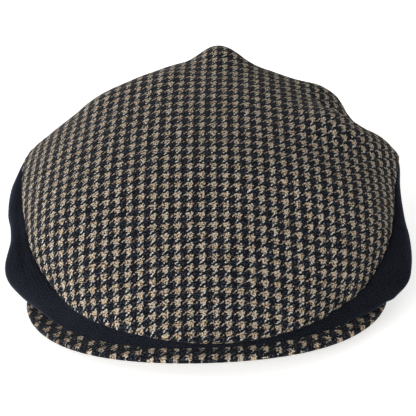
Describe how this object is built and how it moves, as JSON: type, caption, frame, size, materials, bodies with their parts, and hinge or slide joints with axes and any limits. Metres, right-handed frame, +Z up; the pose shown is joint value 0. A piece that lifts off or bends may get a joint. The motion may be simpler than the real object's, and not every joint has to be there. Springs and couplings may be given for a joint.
{
  "type": "flat cap",
  "caption": "Soft flat cap: a houndstooth top panel over plain dark side panels, on a thin crescent peak, open underneath for the head.",
  "frame": {"origin": "middle of the cap's underside, on the surface it rests on", "axes": "+Z up, -Y the way the peak points, +X to the right of a viewer who faces the peak"},
  "size_m": [0.235, 0.2606, 0.1105],
  "materials": {
    "check_cloth": "matt brushed wool, tan and cream houndstooth on near-black navy",
    "navy_cloth": "matt plain dark navy wool twill"
  },
  "bodies": {
    "root": {"crown_top": "check_cloth", "side_panel_left": "navy_cloth", "side_panel_right": "navy_cloth", "peak": "check_cloth"}
  },
  "joints": []
}
